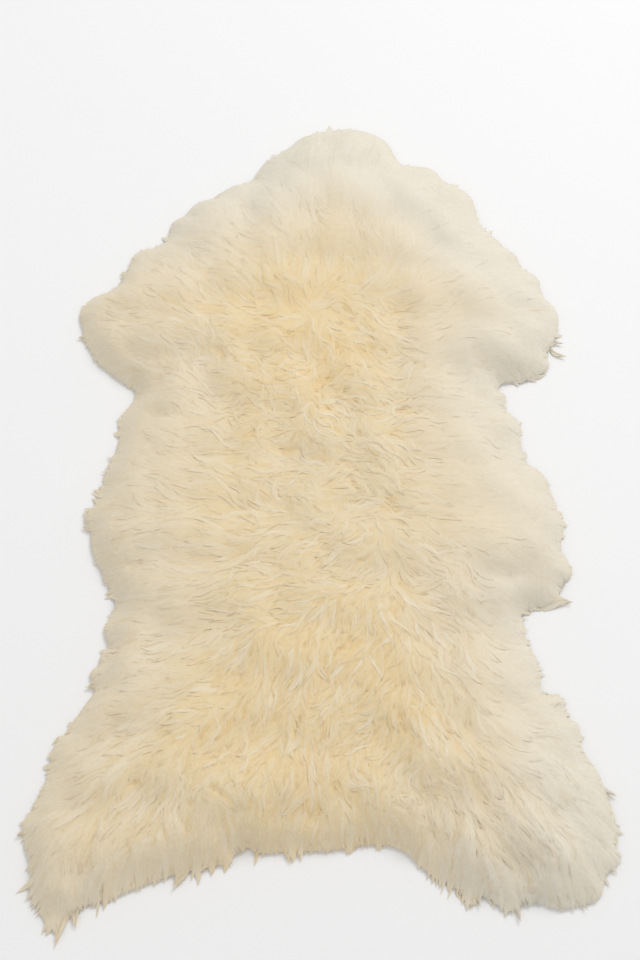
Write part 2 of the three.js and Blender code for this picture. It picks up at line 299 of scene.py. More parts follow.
# Which way the wool lies, and how curly, crisp and long it is, all over the rug
def combTheRug():
    table = {name: np.array([row[i] for row in combRows]) for i, name in enumerate(combColumns)}
    apartX = gridX[..., None] - table["x"]
    apartY = gridY[..., None] - table["y"]
    weight = 1 / (apartX ** 2 + apartY ** 2 + combing["softness"] ** 2) ** 2
    weight /= weight.sum(-1, keepdims=True)
    lie = np.radians(table["lie"])
    wayX = (weight * np.cos(lie)).sum(-1)
    wayY = (weight * np.sin(lie)).sum(-1)
    slopeY, slopeX = np.gradient(blurred(rimIn, 4), net["step"])
    pull = combing["rimPull"] * np.exp(-np.maximum(rimIn, 0) / combing["rimWidth"])
    wayX = wayX * (1 - pull) - slopeX * pull
    wayY = wayY * (1 - pull) - slopeY * pull
    fields = {name: (weight * table[name]).sum(-1) for name in combColumns[4:]}
    rimCrisp = combing["rimCrisp"] * np.exp(-np.maximum(rimIn, 0) / combing["rimCrispWidth"])
    fields["crisp"] = np.maximum(fields["crisp"], rimCrisp)
    swirl = lumpy(combing["swirlSize"])
    swirl /= swirl.std()
    free = np.clip(rimIn / combing["swirlFrom"], 0.3, 1)
    lie = np.arctan2(wayY, wayX)
    lie += swirl * free * (combing["swirl"] + combing["curlSwirl"] * fields["curl"] ** 1.5)
    return {**fields, "wayX": np.cos(lie), "wayY": np.sin(lie)}


comb = combTheRug()

# Where the wool at the rim stands out in tufts
tufting = lumpy(combing["tuftSize"])
tufting = np.clip(0.5 + 0.5 * tufting / tufting.std(), 0, 1.6) * (0.4 + 0.6 * comb["crisp"])
print("wool: combed from", len(combRows), "places")


# How pale the wool is, from 0 for the butter yellow of the spine. Part of it is painted light and
# shade: paler to the right, where the lamp falls, and darker over the tail, where the wool turns
# down out of the light. Each patch has a place, x, y, its width and length, and how much paler it is.
paleLook = {
    "spine": 0.22,
    "edge": 0.58,          # how much paler it gets towards the edges
    "edgeWidth": 0.145,
    "neck": 0.35,          # towards the neck
    "right": 0.12,         # towards the right, partly its own tone and partly painted light from the lamp
    "shoulderRight": 0.25, # and towards both at once
    "patches": [
        # darker and yellower where the wool turns down at the tail: partly its own colour, partly
        # painted shade
        ("tail", 0.00, -0.40, 0.17, 0.13, -0.55),
        ("withers", 0.00, 0.22, 0.10, 0.12, -0.30),
        ("croup", 0.04, -0.22, 0.12, 0.09, -0.22),
        ("hind leg right", 0.24, -0.42, 0.09, 0.10, 0.25),
    ],
}


def paleOverTheRug():
    pale = paleLook["spine"] + paleLook["edge"] * np.clip(1 - rimIn / paleLook["edgeWidth"], 0, 1) ** 0.9
    pale += paleLook["neck"] * np.clip((gridY - 0.28) / 0.22, 0, 1)
    # Paler to the right: partly the wool's own tone, partly painted light from the lamp on that side
    pale += paleLook["right"] * np.clip(gridX / 0.25, -1, 1)
    rightwards = np.clip(gridX / 0.25, 0, 1)
    pale += paleLook["shoulderRight"] * np.clip((gridY - 0.05) / 0.35, 0, 1) * rightwards
    for place, x, y, width, length, more in paleLook["patches"]:
        pale += more * np.exp(-((gridX - x) / width) ** 2 - ((gridY - y) / length) ** 2)
    return pale


paleness = paleOverTheRug()


# Fine ridges drawn out along the lie of the wool
def drawnOut(grain, steps=7):
    total, count = grain.copy(), 1
    for direction in (1, -1):
        x, y = gridX.copy(), gridY.copy()
        for _ in range(steps):
            x += direction * net["step"] * sample(comb["wayX"], x, y)
            y += direction * net["step"] * sample(comb["wayY"], x, y)
            total += sample(grain, x, y)
            count += 1
    return total / count


def newMesh(name, points, faces, starts):
    mesh = bpy.data.meshes.new(name)
    mesh.vertices.add(len(points))
    mesh.vertices.foreach_set("co", np.asarray(points, np.float32).ravel())
    mesh.loops.add(len(faces))
    mesh.loops.foreach_set("vertex_index", np.asarray(faces, np.int32))
    mesh.polygons.add(len(starts))
    mesh.polygons.foreach_set("loop_start", np.asarray(starts, np.int32))
    mesh.update(calc_edges=True)
    mesh.validate()
    mesh.polygons.foreach_set("use_smooth", np.ones(len(mesh.polygons), bool))
    piece = bpy.data.objects.new(name, mesh)
    bpy.context.scene.collection.objects.link(piece)
    return piece


def setAttribute(piece, name, values):
    attribute = piece.data.attributes.new(name, "FLOAT", "POINT")
    attribute.data.foreach_set("value", np.asarray(values, np.float32))


def setMap(piece, name, places):
    layer = piece.data.uv_layers.new(name=name)
    layer.data.foreach_set("uv", np.asarray(places, np.float32).ravel())


# A closed body with the net as its top, where inset says how far in from the edge it ends, and
# every how many points of the net it takes
def netBody(name, distance, inset, top, bottom, every=1):
    distance = distance[::every, ::every]
    pointX, pointY = gridX[::every, ::every], gridY[::every, ::every]
    kept = distance > inset
    cells = kept[:-1, :-1] & kept[1:, :-1] & kept[:-1, 1:] & kept[1:, 1:]
    around = np.pad(cells, 1)
    corners = around[:-1, :-1], around[1:, :-1], around[:-1, 1:], around[1:, 1:]
    used = np.logical_or.reduce(corners)
    rim = used & ~np.logical_and.reduce(corners)
    number = -np.ones(kept.shape, int)
    number[used] = np.arange(used.sum())
    slopeY, slopeX = np.gradient(distance, net["step"] * every)
    shift = np.where(rim, inset - distance, 0)
    x, y = pointX + slopeX * shift, pointY + slopeY * shift
    topPoints = np.stack([x[used], y[used], sample(top, x[used], y[used])], 1)
    a, b = number[:-1, :-1][cells], number[:-1, 1:][cells]
    c, d = number[1:, 1:][cells], number[1:, :-1][cells]
    quads = np.stack([a, b, c, d], 1)
    edges = np.concatenate([quads[:, [i, (i + 1) % 4]] for i in range(4)])
    size = used.sum()
    forward = set((edges[:, 0] * size + edges[:, 1]).tolist())
    follows = {p: q for p, q in edges.tolist() if q * size + p not in forward}
    start = next(iter(follows))
    loop = [start]
    while follows[loop[-1]] != start:
        loop.append(follows[loop[-1]])
    loop = np.array(loop)
    lowPoints = topPoints[loop].copy()
    lowPoints[:, 2] = bottom
    lower = size + np.arange(len(loop))
    turned = np.roll(np.arange(len(loop)), -1)
    walls = np.stack([loop[turned], loop, lower, lower[turned]], 1)
    faces = np.concatenate([quads.ravel(), walls.ravel(), lower[::-1]])
    sides = len(quads) + len(walls)
    starts = np.concatenate([np.arange(sides) * 4, [sides * 4]])
    piece = newMesh(name, np.concatenate([topPoints, lowPoints]), faces, starts)
    return piece, faces, sides


# A flat map of the piece: the top over most of it, what lies below in a corner
def flatMap(piece, faces, sides, below):
    points = np.array([vertex.co for vertex in piece.data.vertices])[:, :2]
    placed = (points - points.min(0)) / np.ptp(points, axis=0).max()
    places = placed[faces] * 0.99 + 0.005
    places[below * 4:] = placed[faces[below * 4:]] * 0.3 + (0.68, 0.005)
    setMap(piece, "OFBake", places)


hideLook = {
    "thickness": 0.0025,
    "edge": 0.0012,   # how far the cut edge stays in from the drawn outline
    "ripple": 0.0003, # how uneven the suede is
    "dark": (0.60, 0.48, 0.33),
    "light": (0.72, 0.62, 0.47),
    "roughness": 0.92,
    "sheen": 0.3,
}


def makeHide():
    heights = heightsOf("hide")
    distance = distanceIn(heights > 0)
    ripple = blurred(rng.normal(size=gridX.shape), 3)
    top = hideLook["thickness"] - hideLook["ripple"] * np.abs(ripple) / np.abs(ripple).max()
    piece, faces, sides = netBody("sheepskinHide", distance, hideLook["edge"], top, 0.0, 3)
    flatMap(piece, faces, sides, sides - 1)
    return piece


# The wool's surface

surfaceLook = {
    "spacing": 0.0080,           # distance from one lock to the next
    "stations": 34,              # places along a lock where it bends
    "across": 11,                # and places over its width
    "jitter": 0.6,               # how far a lock may stand from its even place
    "upper": 0.0105,             # of locks broader than this, only a share lie on top
    "upperLevel": (0.65, 1.1),   # how high those lie
    "underLevel": (0.3, 0.45),   # and how high the others do
    "underTone": 0.68,           # how much of the tips' colour the others have, partly painted shade under the top locks
    "band": (-0.004, 1.0),       # how far in from the rim the locks grow
    "overshoot": (0.001, 0.010), # how far the locks at the rim stand out past the slab
    "wave": 0.50,                # how far a lock swings from side to side, in radians
    "waveLength": (0.030, 0.060),
    "curlTurn": 2.6,             # how far a curly lock turns over its length, in radians
    "wander": 0.16,              # how unevenly the locks are combed, in radians
    "reach": 1.0,
    "relief": (0.0001, 0.0031),  # depth of the gaps in fluffy wool, and in crisp wool
    "grain": 0.10,               # height of the fine ridges, as a share of the gaps
    "hollows": 0.0018,           # depth of the hollows between tangled locks
    "hollowSize": 0.0055,
    "inset": -0.003,             # how far the surface stays in from the rim, below 0 past it
    "bottom": 0.003,
}


def plant(look):
    step = look["spacing"]
    rowStep = step * math.sqrt(0.75)
    columns = np.arange(low.x, high.x, step)
    rows = np.arange(low.y, high.y, rowStep)
    x, y = np.meshgrid(columns, rows)
    x = x + (np.arange(len(rows)) % 2)[:, None] * step / 2
    x = x + rng.uniform(-1, 1, x.shape) * step * look["jitter"]
    y = y + rng.uniform(-1, 1, y.shape) * step * look["jitter"]
    x, y = x.ravel(), y.ravel()
    inward = sample(rimIn, x, y)
    kept = (inward > look["band"][0]) & (inward < look["band"][1])
    return x[kept], y[kept]


# Paths from each place, which set out their own way and turn into the lie of the wool
def follow(x, y, length, steps, habit, look):
    pathX, pathY = [x], [y]
    headX, headY = habit["headX"], habit["headY"]
    turning = length / steps / combing["ownWay"]
    for k in range(steps):
        share = (k + 0.5) / steps
        headX = headX + (sample(comb["wayX"], x, y) - headX) * turning
        headY = headY + (sample(comb["wayY"], x, y) - headY) * turning
        curl = sample(comb["curl"], x, y)
        way = np.arctan2(headY, headX) + habit["wander"] * (0.4 + curl)
        way = way + habit["turn"] * curl ** 1.5 * (share - 0.4)
        swing = 2 * math.pi * share * length / habit["waveLength"] + habit["start"]
        way = way + look["wave"] * (0.25 + 0.75 * curl) * np.sin(swing)
        x = x + np.cos(way) * length / steps
        y = y + np.sin(way) * length / steps
        pathX.append(x)
        pathY.append(y)
    return np.stack(pathX, 1), np.stack(pathY, 1)


# Paths along the combing, each with its middle near the place where it was planted
def paths(look):
    x, y = plant(look)
    count = len(x)
    habit = {
        "headX": sample(comb["wayX"], x, y),
        "headY": sample(comb["wayY"], x, y),
        "wander": rng.normal(0, look["wander"], count),
        "turn": rng.uniform(-1, 1, count) * look["curlTurn"],
        "waveLength": rng.uniform(*look["waveLength"], count),
        "start": rng.uniform(0, 2 * math.pi, count),
    }
    length = sample(comb["reach"], x, y) * rng.uniform(0.75, 1.25, count) * look["reach"]
    x, y = x - habit["headX"] * length * 0.5, y - habit["headY"] * length * 0.5
    overshoot = rng.uniform(*look["overshoot"], count) * sample(tufting, x, y)
    tries = 20
    pathX, pathY = follow(x, y, length, tries, habit, look)
    outside = sample(rimIn, pathX, pathY) < -overshoot[:, None]
    first = np.where(outside.any(1), outside.argmax(1), tries)
    length = length * np.maximum(first, 4) / tries
    return follow(x, y, length, look["stations"], habit, look)


# A lock is broadest in its middle and ends in a point
def lockTaper(share):
    return np.interp(share, [0, 0.35, 0.75, 1], [0.5, 1, 0.7, 0.05])


def nearestPoint(x, y):
    column = np.clip(np.rint((x - xs[0]) / net["step"]), 0, len(xs) - 1)
    row = np.clip(np.rint((y - ys[0]) / net["step"]), 0, len(ys) - 1)
    return row.astype(int), column.astype(int)


# How high the locks lie over one another, 0 in the gaps and about 1 on a lock
def layLocks():
    pathX, pathY = paths(surfaceLook)
    count = len(pathX)
    share = np.linspace(0, 1, surfaceLook["stations"] + 1)[None, :, None]
    side = np.linspace(-1, 1, surfaceLook["across"])[None, None, :]
    breadth = sample(comb["breadth"], pathX[:, 0], pathY[:, 0]) * rng.uniform(0.5, 1.3, count)
    out = side * lockTaper(share) * breadth[:, None, None] / 2
    wayX, wayY = np.gradient(pathX, axis=1), np.gradient(pathY, axis=1)
    size = np.hypot(wayX, wayY) + 1e-9
    wayX, wayY = wayX / size, wayY / size
    atX = pathX[..., None] - out * wayY[..., None]
    atY = pathY[..., None] + out * wayX[..., None]
    ribs = np.zeros((count, 1, 1))
    for waves in (2.5, 4.2):
        phase = rng.uniform(0, 2 * math.pi, (count, 1, 1))
        ribs = ribs + 0.09 * np.cos(waves * math.pi * side + phase + 2 * share)
    rise = np.interp(share, [0, 0.2, 0.8, 1], [0.15, 0.55, 1, 0.85])
    middle = surfaceLook["stations"] // 2
    upper = surfaceLook["upper"] / sample(comb["breadth"], pathX[:, middle], pathY[:, middle])
    upper = rng.uniform(size=count) < upper ** 2.5
    upperLevel = rng.uniform(*surfaceLook["upperLevel"], count)
    underLevel = rng.uniform(*surfaceLook["underLevel"], count)
    level = np.where(upper, upperLevel, underLevel)[:, None, None]
    height = rise * (level * np.sqrt(1 - side ** 2) + ribs)
    row, column = nearestPoint(atX, atY)
    laid = np.zeros(gridX.shape)
    np.maximum.at(laid, (row, column), height)

    # Which lock lies on top at each point, and which part of it
    onTop = height >= laid[row, column]
    points = row[onTop], column[onTop]
    lock = np.full(gridX.shape, -1)
    lockShare, lockSide = np.zeros(gridX.shape), np.zeros(gridX.shape)
    lock[points] = np.broadcast_to(np.arange(count)[:, None, None], height.shape)[onTop]
    lockShare[points] = np.broadcast_to(share, height.shape)[onTop]
    lockSide[points] = np.broadcast_to(side, height.shape)[onTop]
    locks = {
        "x": pathX,
        "y": pathY,
        "wayX": wayX,
        "wayY": wayY,
        "breadth": breadth,
        "tone": rng.normal(size=count),
        # lower locks keep less of the tips' colour: partly their own colour, partly painted shade under
        # the top locks
        "tipColourShare": np.where(upper, 1, surfaceLook["underTone"]),
        "onTop": lock,
        "share": lockShare,
        "side": lockSide,
    }
    return blurred(laid), locks


def shapeSurface():
    laid, locks = layLocks()
    grain = drawnOut(rng.normal(size=gridX.shape), 8)
    lumps = drawnOut(lumpy(surfaceLook["hollowSize"]), 6)
    hollow = np.clip(lumps / lumps.std() - 1.2, 0, 1) * comb["crisp"] * np.sqrt(comb["curl"])
    laid = laid * (1 - hollow)
    relief = np.interp(comb["crisp"], [0.2, 1], surfaceLook["relief"])
    relief *= np.clip(comb["breadth"] / 0.014, 0.8, 2.3)
    drop = relief * (1 - laid) + hollow * surfaceLook["hollows"]
    ridges = grain / grain.std() * surfaceLook["grain"] * relief
    top = pileTop + (ridges - drop) * np.clip(pileTop / 0.020, 0.3, 1)
    return top, laid, locks, grain / grain.std(), blurred(hollow, 2)


woolTop, laid, locks, grain, hollow = shapeSurface()
softTop = blurred(woolTop, 1)
tiltY, tiltX = np.gradient(softTop, net["step"])

# The slopes that the wool is shaded by
shade = net["hillShade"] * blurred(pileTop, 8) + net["lockShade"] * blurred(woolTop - pileTop, 1)
slopeY, slopeX = np.gradient(shade, net["step"])
print("wool: locks laid over the surface")


def makeSurface():
    inset, bottom = surfaceLook["inset"], surfaceLook["bottom"]
    top = np.maximum(woolTop, bottom + 0.001)
    piece, faces, sides = netBody("woolSurface", rimIn, inset, top, bottom)
    points = np.array([vertex.co for vertex in piece.data.vertices])
    x, y = points[:, 0], points[:, 1]
    setAttribute(piece, "paleness", sample(paleness, x, y))
    setAttribute(piece, "tone", sample(grain * 0.5, x, y))
    # Gaps between locks and hollows take the deeper colour of wool near the skin: partly its own colour,
    # partly painted shade
    deep = (0.75 - 0.7 * laid) * (0.2 + 0.8 * comb["crisp"]) * np.clip(rimIn / 0.012, 0, 1)
    setAttribute(piece, "along", sample(1 - deep, x, y))
    flatMap(piece, faces, sides, sides - 1)
    fibre = np.stack([sample(grain, x, y) * 0.5, y * 25], 1)
    setMap(piece, "fibre", fibre[faces])
    return piece


rimLockLook = {
    "spacing": 0.0088,
    "jitter": 0.6,
    "band": (-0.004, 0.022),
    "width": (0.35, 0.70), # as a share of the breadth of the locks there
    "broadest": 0.017,     # where they are counted as no broader than this
    "height": 0.18,        # how thick a lock is, as a share of its width
    "stations": 7,         # places along a lock where it bends
    "sink": 0.0040,        # how far its root lies in the surface
    "lift": 0.0005,        # how far its tip stands over it
    "overshoot": (0.005, 0.018),
    "wave": 0.30,
    "waveLength": (0.030, 0.055),
    "curlTurn": 1.2,
    "wander": 0.22,
    "reach": 0.9,
    "ribs": ((-1, 0), (0, 1), (1, 0), (0, -0.5)),
    "ribSpread": 0.14,
    "evenness": 0.88,      # how much it is shaded as the even pile under it
    "rootTone": 0.7,       # how much of the tips' colour the roots have
    "rimTone": 0.4,        # how much of it some lose where they hang down at the rim
}

wispLook = {
    "spacing": 0.0056,
    "jitter": 0.6,
    "band": (-0.008, 1.0),
    "width": (0.0012, 0.0030),
    "height": 0.14,
    "stations": 6,
    "sink": 0.0010,
    "lift": 0.0005,
    "drift": 0.45,         # how far it crosses the lock it lies on
    "blunt": 0.35,         # how far apart the tips of fluffy wool stay
    "boldShare": 0.25,     # share of crisp wisps that are broad and pale
    "bold": 1.4,           # how much broader they are
    "ribs": ((-1, 0), (0, 1), (1, 0)),
    "ribSpread": 0.1,
    "evenness": 0.85,
    "rootTone": 0.60,
    "sideShade": 0.42,      # painted shade: how much of it is lost at the sides of a lock
    "rimTone": 0.6,
}


# Lays paths on the surface, with their roots in it and their tips a little over it
def layOn(pathX, pathY, look):
    count, share = len(pathX), np.linspace(0, 1, pathX.shape[1])
    crisp = sample(comb["crisp"], pathX[:, 0], pathY[:, 0])
    lift = np.interp(share, [0, 0.25, 1], [-look["sink"], 0, look["lift"]])
    lift = lift * (0.2 + 0.8 * crisp[:, None])
    lift = lift - rng.uniform(0, 0.8, count)[:, None] * look["lift"] * (share > 0)
    z = np.maximum(sample(softTop, pathX, pathY) + lift, net["lowestPath"])
    tangled = np.clip(sample(comb["curl"], pathX[:, 0], pathY[:, 0]) * 1.4 - 0.2, 0, 1)[:, None]
    rootTone = look["rootTone"] * tangled + 0.85 * (1 - tangled)
    along = rootTone + (1 - rootTone) * share
    # In hollows the wisps take the deeper colour: partly their own, partly painted shade
    along = along * (1 - 0.75 * sample(hollow, pathX, pathY))
    return {"path": np.stack([pathX, pathY, z], -1), "crisp": crisp, "along": along}


def growRimLocks():
    pathX, pathY = paths(rimLockLook)
    count = len(pathX)
    breadth = sample(comb["breadth"], pathX[:, 0], pathY[:, 0])
    breadth = np.minimum(breadth, rimLockLook["broadest"])
    return {
        **layOn(pathX, pathY, rimLockLook),
        "width": rng.uniform(*rimLockLook["width"], count) * breadth,
        "tone": rng.normal(0, 0.6, count),
    }


# Wisps that run to the tip of the lock they lie on
def growWisps():
    point = nearestPoint(*plant(wispLook))
    point = point[0][locks["onTop"][point] >= 0], point[1][locks["onTop"][point] >= 0]
    lock, count = locks["onTop"][point], len(point[0])
    share = np.linspace(0, 1, wispLook["stations"] + 1)
    crisp = comb["crisp"][point][:, None]
    bold = rng.uniform(size=count) < wispLook["boldShare"] * crisp[:, 0]
    first = np.clip(locks["share"][point] - rng.uniform(0.1, 0.5, count), 0, 0.7)[:, None]
    first = np.where(bold[:, None], first * 0.4, first)
    last = rng.uniform(0.85, 1, count)[:, None]
    at = first + (last - first) * share
    stations = surfaceLook["stations"]
    before = np.minimum((at * stations).astype(int), stations - 1)
    part = at * stations - before

    def onLock(name):
        values = locks[name][lock]
        near = np.take_along_axis(values, before, 1)
        far = np.take_along_axis(values, before + 1, 1)
        return near * (1 - part) + far * part

    swing = rng.uniform(0, 2 * math.pi, (count, 1)) + at * rng.uniform(4, 9, (count, 1))
    drift = wispLook["drift"] * (0.3 + 0.7 * comb["curl"][point][:, None])
    side = locks["side"][point][:, None] + drift * np.sin(swing)
    taper = np.maximum(lockTaper(at), wispLook["blunt"] * (1 - crisp))
    out = side * taper * locks["breadth"][lock][:, None] / 2
    pathX = onLock("x") - out * onLock("wayY")
    pathY = onLock("y") + out * onLock("wayX")
    grown = layOn(pathX, pathY, wispLook)
    # Lower locks give their wisps more of the deeper colour: partly their own, partly painted shade
    # under the top locks
    under = 1 - locks["tipColourShare"][lock][:, None]
    # Painted shade: wisps lose tip colour towards the sides of their lock, where shade falls between
    # locks
    grown["along"] *= (1 - wispLook["sideShade"] * crisp * side ** 4) * (1 - under * crisp)
    grown["path"][..., 2] += wispLook["lift"] * bold[:, None] * share
    width = rng.uniform(*wispLook["width"], count) * (1 + 1.2 * (1 - crisp[:, 0]))
    return {
        **grown,
        "width": width * np.where(bold, wispLook["bold"], 1),
        "tone": rng.normal(0, 0.6, count) + 0.9 * locks["tone"][lock] + 0.9 * bold,
    }


def unit(vectors):
    return vectors / (np.linalg.norm(vectors, axis=-1, keepdims=True) + 1e-9)


# Long tufts at the rim, each a bundle of locks. Each has a place, x and y of its tip, the way it
# points in degrees, its length and width, and how far it curls.
tuftRows = [
    ("hind toe left", -0.2895, -0.5618, 262, 0.085, 0.022, 0.10),
    ("hind claw left", -0.2665, -0.5398, 285, 0.060, 0.020, 0.30),
    ("heel left", -0.1625, -0.4958, 240, 0.050, 0.020, -0.20),
    ("heel right", 0.1795, -0.5168, 280, 0.060, 0.026, 0.15),
    ("hind toe right", 0.2235, -0.5328, 280, 0.065, 0.016, -0.15),
    ("hind foot right", 0.2985, -0.5198, 300, 0.060, 0.028, 0.10),
    ("hock left", -0.3425, -0.4348, 215, 0.050, 0.028, 0.15),
    ("hock right", 0.3425, -0.3888, 325, 0.050, 0.008, -0.15),
    ("hip left", -0.2745, -0.2538, 195, 0.050, 0.032, 0.10),
    ("flank back right", 0.3065, -0.1448, 352, 0.050, 0.020, -0.10),
    ("flank front right", 0.3095, -0.0998, 350, 0.055, 0.022, 0.10),
    ("belly left", -0.2925, -0.0448, 178, 0.055, 0.032, -0.10),
    ("foreleg low right", 0.3185, 0.1992, 345, 0.032, 0.006, 0.20),
    ("foreleg high right", 0.3155, 0.2192, 350, 0.032, 0.006, 0.25),
    ("foreleg left", -0.3125, 0.2282, 190, 0.045, 0.016, -0.30),
]
tuftLook = {
    **rimLockLook,
    "locks": 14,           # locks in a tuft
    "width": (0.003, 0.007),
    "stations": 9,
    "tipHeight": (0.002, 0.006),
}


def growTufts():
    share = np.linspace(0, 1, tuftLook["stations"] + 1)
    found = {"path": [], "width": [], "tone": []}
    for place, x, y, lie, length, width, bend in tuftRows:
        way = math.radians(lie)
        for i in range(tuftLook["locks"]):
            side = (i / (tuftLook["locks"] - 1) - 0.5) * 2 + rng.uniform(-0.1, 0.1)
            reach = length * (1 - 0.45 * side ** 2) * rng.uniform(0.85, 1)
            turn = way + bend * (share - 1) * 2
            back = (1 - share) * reach
            offset = side * width / 2 * (1 - share) ** 0.6
            short = (length - reach) * 0.5
            inX = x - back * np.cos(turn) - offset * np.sin(way) - short * math.cos(way)
            inY = y - back * np.sin(turn) + offset * np.cos(way) - short * math.sin(way)
            pile = sample(softTop, inX, inY)
            tip = rng.uniform(*tuftLook["tipHeight"])
            z = np.maximum(pile + 0.001 - 0.003 * (1 - share), tip * share)
            found["path"].append(np.stack([inX, inY, z], -1))
            found["width"].append(rng.uniform(*tuftLook["width"]) * min(1, width / 0.014))
            found["tone"].append(rng.normal(0, 0.6))
    found = {name: np.array(values) for name, values in found.items()}
    count = len(found["path"])
    tone = tuftLook["rootTone"] + (1 - tuftLook["rootTone"]) * share
    return {**found, "crisp": np.full(count, 0.8), "along": np.tile(tone, (count, 1))}


# The two ways across a path: sideways along the surface under it, and up from it
def acrossPath(path):
    forward = unit(np.gradient(path, axis=1))
    x, y = path[..., 0], path[..., 1]
    up = unit(np.stack([-sample(tiltX, x, y), -sample(tiltY, x, y), np.ones(x.shape)], -1))
    sideways = unit(np.cross(up, forward))
    return sideways, np.cross(forward, sideways)


# Tapered bodies along the paths, their ribs running from root to tip, as one mesh
def spin(name, grown, look, chosen):
    path, width = grown["path"][chosen], grown["width"][chosen]
    crisp, tone = grown["crisp"][chosen][:, None], grown["tone"][chosen]
    count, rings = path.shape[0], path.shape[1] - 1
    sides = len(look["ribs"])
    share = np.linspace(0, 1, rings + 1)
    pointed = np.interp(share, [0, 0.3, 0.6, 0.8, 0.92, 1], [0.3, 1, 0.8, 0.5, 0.25, 0])
    fluffy = np.interp(share, [0, 0.3, 0.7, 0.9, 1], [0.3, 1, 0.9, 0.5, 0])
    taper = (pointed * crisp + fluffy * (1 - crisp)) * width[:, None] / 2
    thick = taper * 2 * look["height"] * (0.3 + 0.7 * crisp)
    section = np.array(look["ribs"]) + rng.uniform(-1, 1, (count, sides, 2)) * look["ribSpread"]
    sideways, upwards = acrossPath(path)
    points = path[:, :rings, None]
    for axis, way, reach in ((0, sideways, taper), (1, upwards, thick)):
        offset = section[:, None, :, axis] * reach[:, :rings, None]
        points = points + way[:, :rings, None] * offset[..., None]
    points[..., 2] = np.maximum(points[..., 2], net["lowestPoint"])
    points = np.concatenate([points.reshape(count, rings * sides, 3), path[:, -1:]], 1)
    each = rings * sides + 1
    tip = each - 1
    faces, places = [], []
    for ring in range(rings):
        for side in range(sides):
            here, there = ring * sides, (ring + 1) * sides
            after = (side + 1) % sides
            left, right = side / sides, (side + 1) / sides
            if ring < rings - 1:
                faces.append([here + side, there + side, there + after, here + after])
                places.append([(left, share[ring]), (left, share[ring + 1]),
                               (right, share[ring + 1]), (right, share[ring])])
            else:
                faces.append([here + side, tip, here + after])
                places.append([(left, share[ring]), ((left + right) / 2, 1), (right, share[ring])])
    faces.append(list(range(sides)))
    places.append([((side + 0.5) / sides, 0.03 * (side % 2)) for side in range(sides)])
    sizes = np.array([len(face) for face in faces])
    starts = np.concatenate([[0], np.cumsum(sizes)[:-1]])
    faces, places = np.array(sum(faces, [])), np.array(sum(places, []))
    first = np.arange(count)[:, None]
    loops, loopStarts = (faces + first * each).ravel(), (starts + first * len(faces)).ravel()
    piece = newMesh(name, points.reshape(-1, 3), loops, loopStarts)
    inward = sample(rimIn, path[..., 0], path[..., 1])
    along = 1 - (1 - grown["along"][chosen]) * np.clip(inward / 0.018, 0.4, 1)
    hanging = np.clip(1 - inward / 0.06, 0, 1) * (0.5 + 0.5 * crisp)
    along -= rng.uniform(0, look["rimTone"], (count, 1)) * hanging
    along = np.concatenate([np.repeat(along[:, :rings], sides, 1), along[:, -1:]], 1)
    setAttribute(piece, "along", along.ravel())
    setAttribute(piece, "tone", np.repeat(tone * crisp[:, 0], each))
    setAttribute(piece, "paleness", sample(paleness, points[..., 0], points[..., 1]).ravel())
    setMap(piece, "OFBake", cellMap(places, count))
    evenNormals(piece, points.reshape(-1, 3), look["evenness"])
    lengthAlong = np.linalg.norm(np.diff(path, axis=1), axis=2).sum(1)
    fibre = np.tile(places, (count, 1, 1))
    fibre[..., 0] = (fibre[..., 0] + first) * width[:, None] * 200
    fibre[..., 1] = fibre[..., 1] * lengthAlong[:, None] * 25
    setMap(piece, "fibre", fibre)
    return piece


def readAll(items, name, width, kind=np.float32):
    values = np.zeros(len(items) * width, kind)
    items.foreach_get(name, values)
    return values.reshape(-1, width) if width > 1 else values


# Shades a piece partly as the even pile under it, as light does that scatters in fine wool
def evenNormals(piece, points, evenness):
    mesh = piece.data
    own = readAll(mesh.vertices, "normal", 3)
    x, y = points[:, 0], points[:, 1]
    even = unit(np.stack([-sample(slopeX, x, y), -sample(slopeY, x, y), np.ones(len(x))], 1))
    fluffy = 1 - sample(comb["crisp"], x, y)[:, None]
    evenness = evenness + (1 - evenness) * 0.7 * fluffy
    shaded = unit(own * (1 - evenness) + even * evenness)
    shaded = shaded[readAll(mesh.loops, "vertex_index", 1, np.int32)]
    flat = readAll(mesh.polygons, "normal", 3)
    flat = np.repeat(flat, readAll(mesh.polygons, "loop_total", 1, np.int32), axis=0)
    mesh.normals_split_custom_set(np.where(flat[:, 2:] > 0, shaded, flat))


# One cell of the image for each strand, six times as tall as wide
def cellMap(places, count):
    columns = math.ceil(math.sqrt(count * 6))
    rows = math.ceil(count / columns)
    cell = np.arange(count)
    corner = np.stack([cell % columns, cell // columns], 1)[:, None]
    return (corner + 0.1 + places * 0.8) / (columns, rows)


# The pieces of one kind, in bands from the hind legs to the neck
def inBands(names, look, grown):
    order = np.argsort(grown["path"][:, 0, 1])
    bands = np.array_split(order, len(names))
    pieces = [spin(name, grown, look, band) for name, band in zip(names, bands)]
    triangles = sum(len(piece.data.loops) - 2 * len(piece.data.polygons) for piece in pieces)
    print("wool:", len(order), "in", names[0], "to", names[-1], triangles, "triangles")
    return pieces


def makeWool():
    wispNames = ["wispsHindLegs", "wispsHips", "wispsBack", "wispsNeck"]
    return [
        makeSurface(),
        *inBands(["locksAtRim"], rimLockLook, growRimLocks()),
        *inBands(["longTufts"], tuftLook, growTufts()),
        *inBands(wispNames, wispLook, growWisps()),
    ]


# Materials

